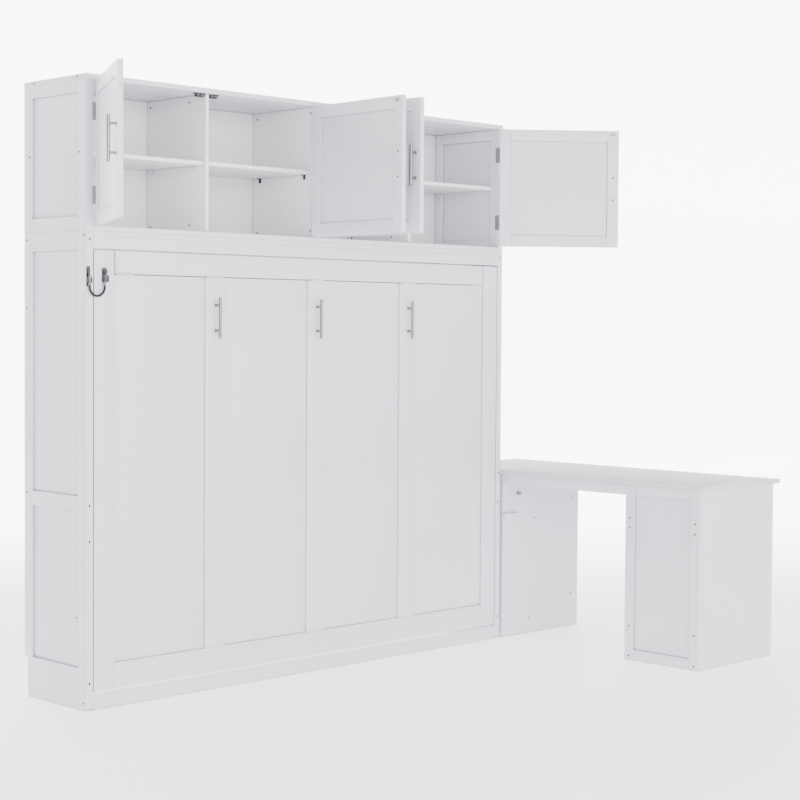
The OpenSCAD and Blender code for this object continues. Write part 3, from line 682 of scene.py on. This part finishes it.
def hinge_screws():
    """Three countersunk screws on each cabinet leaf and door leaf."""
    for k in DOORS:
        pivot, hand, door_turn = door_pose(k)
        middles = sorted({round((low.z + high.z) / 2, 4) for low, high in islands("door_%d_hinges" % k)})
        spots = [(depth * MM, z + lift * MM) for z in middles for depth, lift in LEAF_SCREWS]

        def heads(shape, side, turn):
            for depth, z in spots:
                place = Vector((pivot.x, pivot.y, z)) + turn @ Vector((side * hand * LEAF_FACE, depth, 0.0))
                countersunk_head(shape, place, turn @ Vector((-side * hand, 0.0, 0.0)), LEAF_SCREW_RADIUS)

        new_piece("door_%d_cabinet_screws" % k, lambda shape: heads(shape, -1, Matrix.Identity(3)), ZINC,
                  "cabinet")
        new_piece("door_%d_leaf_screws" % k, lambda shape: heads(shape, 1, door_turn), ZINC,
                  "door_%d" % k)


# ------------------------------------------------------------------ the safety cable

CABLE_RADIUS = 4.2 * MM
CABLE_LEFT = -1097 * MM
CABLE_RIGHT = -1032 * MM
CABLE_Y = -10 * MM
CABLE_LOW = 1488 * MM
CABLE_LEG = 4 * MM  # straight length above each end of the half circle
LOOP_RADIUS = (CABLE_RIGHT - CABLE_LEFT) / 2
LOOP_Z = CABLE_LOW + LOOP_RADIUS


def cable_route():
    """The cable's centreline: down from the lock, round a half circle and up to the long ferrule."""
    middle = (CABLE_LEFT + CABLE_RIGHT) / 2
    turns = 28
    points = [Vector((CABLE_RIGHT, CABLE_Y, LOOP_Z + CABLE_LEG))]
    for i in range(turns + 1):
        a = -math.pi * i / turns
        x = middle + LOOP_RADIUS * math.cos(a)
        points.append(Vector((x, CABLE_Y, LOOP_Z + LOOP_RADIUS * math.sin(a))))
    return points + [Vector((CABLE_LEFT, CABLE_Y, LOOP_Z + CABLE_LEG))]


def tube(shape, points, radius, steps=20):
    """A round tube along points that lie in one plane facing forward, capped at both ends."""
    rings = []
    for i, point in enumerate(points):
        ahead = points[min(i + 1, len(points) - 1)] - points[max(i - 1, 0)]
        rings.append(circle(shape, axis_frame(point, ahead, FORWARD), radius, 0.0, steps))
    for low, high in zip(rings, rings[1:]):
        bridge(shape, low, high)
    shape.faces.new(list(reversed(rings[0])))
    shape.faces.new(rings[-1])


def crimped_sleeve(shape, foot, length, radius):
    """A ferrule with four crimp grooves and a rounded tip, standing on its foot."""
    waist = radius * 0.86
    profile = [(0.0, 0.0), (radius * 0.88, 0.0), (radius, 0.7 * MM)]
    for i in range(4):
        base = (0.12 + 0.13 * i) * length
        profile += [(radius, base), (waist, base + 0.5 * MM),
                    (waist, base + 1.2 * MM), (radius, base + 1.7 * MM)]
    profile += [(radius, length - 1.2 * MM), (radius * 0.75, length), (0.0, length)]
    lathe(shape, profile, axis_frame(foot, UP), 32)


def cable_pieces():
    """The coated cable and its crimped sleeves."""
    route = cable_route()
    cable = new_piece("safety_cable_loop", lambda shape: tube(shape, route, CABLE_RADIUS), CABLE, "bed",
                      turned=True)
    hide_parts("safety_cable")

    def crimps(shape):
        for low, high in islands("cable_ferrules"):
            foot = Vector(((low.x + high.x) / 2, CABLE_Y, low.z))
            crimped_sleeve(shape, foot, high.z - low.z, (high.x - low.x) / 2)

    sleeves = new_piece("cable_crimps", crimps, STEEL, "bed", turned=True)
    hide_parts("cable_ferrules")


def lock_keyway():
    """The lock's cylinder face, its keyway as a flat black sheet of painted shade, and its fixing screw."""
    low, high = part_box("cable_lock")
    x = (low.x + high.x) / 2
    barrel_z = high.z - 14 * MM
    collar = in_mm([(5.6, 0.0), (5.6, 0.5), (4.2, 0.5), (4.0, 0.1), (0.0, 0.1)])

    def face(shape):
        lathe(shape, collar, axis_frame(Vector((x, low.y + 4 * MM, barrel_z)), FORWARD), 32)
        countersunk_head(shape, Vector((x, low.y - 0.05 * MM, low.z + 12 * MM)), FORWARD, 3.0 * MM)

    # Painted shade: a flat black sheet just in front of the collar's face stands for the keyway's dark depth.
    def keyway(shape):
        rectangle(shape, axis_frame(Vector((x, low.y + 3.85 * MM, barrel_z)), FORWARD), 2.6 * MM, 0.6 * MM)

    new_piece("lock_face", face, DARK_ZINC, "bed", turned=True)
    new_piece("lock_slot_shade", keyway, BLACK, "bed")


def shade_outline_pads():
    """Thin dark sheets under the clip and the lock, whose edges outline them against the paint: painted shade
    round each fitting.
    """
    thick = 0.7 * MM
    for node, body in (("cable_clip", "cabinet"), ("cable_lock", "bed")):
        low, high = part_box(node)
        centre = Vector(((low.x + high.x) / 2, -thick / 2, (low.z + high.z) / 2))
        size = (high.x - low.x + 1.0 * MM, thick, high.z - low.z + 1.6 * MM)
        # Painted shade: the sheet's dark rim stands for the shade line round the fitting.
        new_piece(node + "_pad", lambda shape: block(shape, centre, size), PLASTIC, body)


# ------------------------------------------------------------- pivots and gas struts

PIVOT_PLATE = 3 * MM
CYLINDER_RADIUS = 9 * MM


def plate_bolts():
    """Button-head bolts on the cabinet's and the bed's pivot plates."""
    low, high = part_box("cabinet_pivot_plates")
    column = low.y + 22 * MM
    cabinet_spots = [(column, low.z + 20 * MM), (column, low.z + 185 * MM), (column, high.z - 20 * MM)]
    pivot_z = JOINTS["bed_fold"]["pos_m"][2]
    bed_spots = [(y, pivot_z + lift) for lift in (60 * MM, 130 * MM) for y in (85 * MM, 170 * MM)]

    def bolts(shape, x, outwards, spots):
        for side in (-1, 1):
            for y, z in spots:
                out = Vector((side * outwards, 0.0, 0.0))
                button_head(shape, Vector((side * x, y, z)), out, 6 * MM, 2.2 * MM)

    new_piece("cabinet_plate_bolts", lambda shape: bolts(shape, high.x - PIVOT_PLATE, -1, cabinet_spots),
              ZINC, "cabinet")
    new_piece("bed_plate_bolts", lambda shape: bolts(shape, BED_PLATE_X, 1, bed_spots), ZINC, "bed")


def strut_seals():
    """A collar at the mouth of each gas cylinder and two rolled beads round its body."""
    eye = Vector(JOINTS["strut_cylinder_turn"]["pos_m"])
    down = (Vector(JOINTS["strut_rod_turn"]["pos_m"]) - eye).normalized()
    strut_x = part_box("strut_cylinders")[1].x - CYLINDER_RADIUS
    collar = in_mm([(4.3, 0.0), (8.0, 0.0), (8.6, 0.6), (7.2, 2.0), (4.3, 2.0)])
    bead = in_mm([(9.02, 0.0), (9.25, 0.4), (9.25, 1.4), (9.02, 1.8)])

    def build(shape):
        for side in (-1, 1):
            top = Vector((side * strut_x, eye.y, eye.z))
            lathe(shape, collar, axis_frame(top + down * STRUT_LENGTH, down), 32)
            for depth in (22 * MM, STRUT_LENGTH - 10 * MM):
                lathe(shape, bead, axis_frame(top + down * depth, down), 40)

    new_piece("strut_seals", build, STRUT_BLACK, "strut_cylinder", turned=True)


# --------------------------------------------------------------------- small fittings

# A strike plate's corners: distance from the door's free edge and from its top, in millimetres
STRIKE_CORNERS = ((40, 24), (18, 24), (18, 10), (40, 10))
STRIKE_THICKNESS = 0.8 * MM
POLE = (12 * MM, 1.2 * MM, 2 * MM)


def strike_plates():
    """Steel plates on the doors' inner faces, opposite the magnets."""
    free_edge = DOOR_GAP / 2 + DOOR_WIDTH
    for k in DOORS:
        pivot, hand, door_turn = door_pose(k)
        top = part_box("door_%d" % k)[1].z
        back = DOOR_THICKNESS - pivot.y

        def corner(u, z, depth):
            flat = Vector((hand * (free_edge - u * MM), depth, 0.0))
            return Vector((pivot.x, pivot.y, top - z * MM)) + door_turn @ flat

        def build(shape):
            loops = [[shape.verts.new(corner(u, z, depth)) for u, z in STRIKE_CORNERS]
                     for depth in (back, back + STRIKE_THICKNESS)]
            for loop in loops:
                shape.faces.new(loop)
            bridge(shape, *loops)

        new_piece("door_%d_strike" % k, build, ZINC, "door_%d" % k)


def magnet_faces():
    """Two steel pole pieces on the front of each magnetic catch."""
    def build(shape):
        for low, high in islands("magnet_catches"):
            for part in (0.3, 0.7):
                x = low.x + (high.x - low.x) * part
                block(shape, Vector((x, low.y - POLE[1] / 2, (low.z + high.z) / 2)), POLE)

    new_piece("magnet_poles", build, ZINC, "cabinet")


def slat_screws():
    """Two pan heads at each end of each slat."""
    def build(shape):
        for low, high in islands("bed_slats"):
            for x in (low.x + 18 * MM, high.x - 18 * MM):
                for z in (low.z + 14 * MM, high.z - 14 * MM):
                    button_head(shape, Vector((x, high.y, z)), -FORWARD, 3.6 * MM, 1.6 * MM)

    new_piece("slat_screws", build, ZINC, "bed")


def door_rear_screws():
    """Screw heads of each handle on the door's inner face."""
    for k in DOORS:
        foot, out = handle_seat(k)

        def build(shape):
            for side in (-1, 1):
                place = foot - out * DOOR_THICKNESS + UP * side * POST_PITCH / 2
                button_head(shape, place, -out, 4.0 * MM, 1.8 * MM)

        new_piece("door_%d_handle_screws" % k, build, DARK_ZINC, "door_%d" % k)


add_camera()
add_lights()
add_floor(FLOOR)
dress_nodes()
screw_pieces()
handle_pieces()
hinge_screws()
cable_pieces()
lock_keyway()
shade_outline_pads()
plate_bolts()
strut_seals()
strike_plates()
magnet_faces()
slat_screws()
door_rear_screws()
